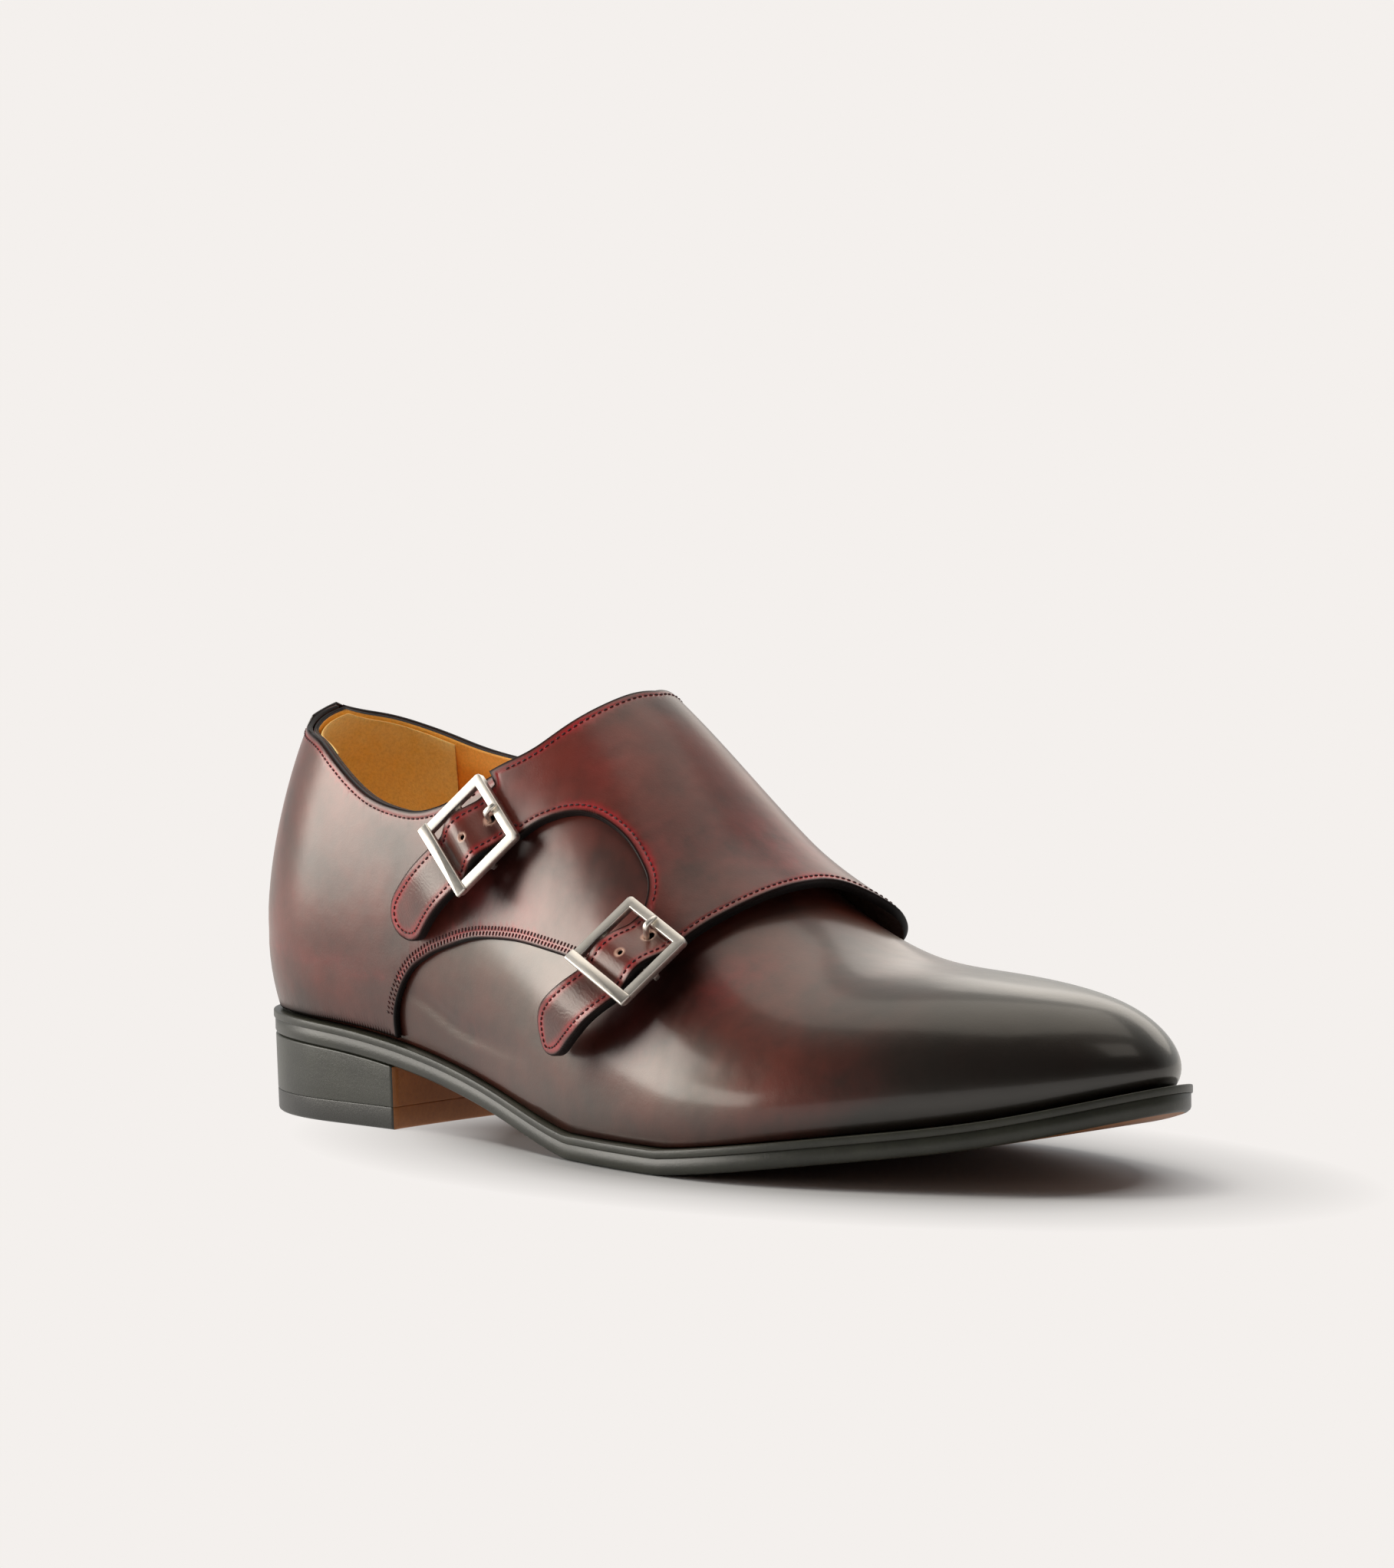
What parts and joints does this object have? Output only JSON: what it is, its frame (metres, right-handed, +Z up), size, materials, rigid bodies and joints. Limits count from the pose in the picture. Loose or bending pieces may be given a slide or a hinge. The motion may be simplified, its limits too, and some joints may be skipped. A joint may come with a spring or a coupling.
{
  "type": "monk strap shoe",
  "caption": "Right-foot leather monk strap shoe with a buckled flap over the instep, a slim leather sole and a low stacked heel.",
  "frame": {"origin": "the middle of the heel's resting face, on the floor", "axes": "+X towards the toe, +Y towards the inner side of the foot, +Z up"},
  "size_m": [0.299, 0.1032, 0.1134],
  "materials": {
    "vamp_leather": "polished burgundy calf",
    "quarter_leather": "burnished burgundy calf",
    "insole_leather": "matt tan",
    "sole_edge_leather": "dark waxed edge",
    "sole_leather": "smooth tan",
    "heel_rubber": "matt black",
    "buckle_nickel": "bright nickel"
  },
  "bodies": {
    "root": {"upper": "vamp_leather", "quarter_lateral": "quarter_leather", "quarter_medial_flap": "quarter_leather", "back_tab": "quarter_leather", "insole": "insole_leather", "welt": "sole_edge_leather", "outsole": "sole_leather", "heel_stack": "sole_edge_leather", "heel_top_piece": "heel_rubber", "buckle_frame_upper": "buckle_nickel", "buckle_prong_upper": "buckle_nickel", "buckle_frame_lower": "buckle_nickel", "buckle_prong_lower": "buckle_nickel"}
  },
  "joints": []
}
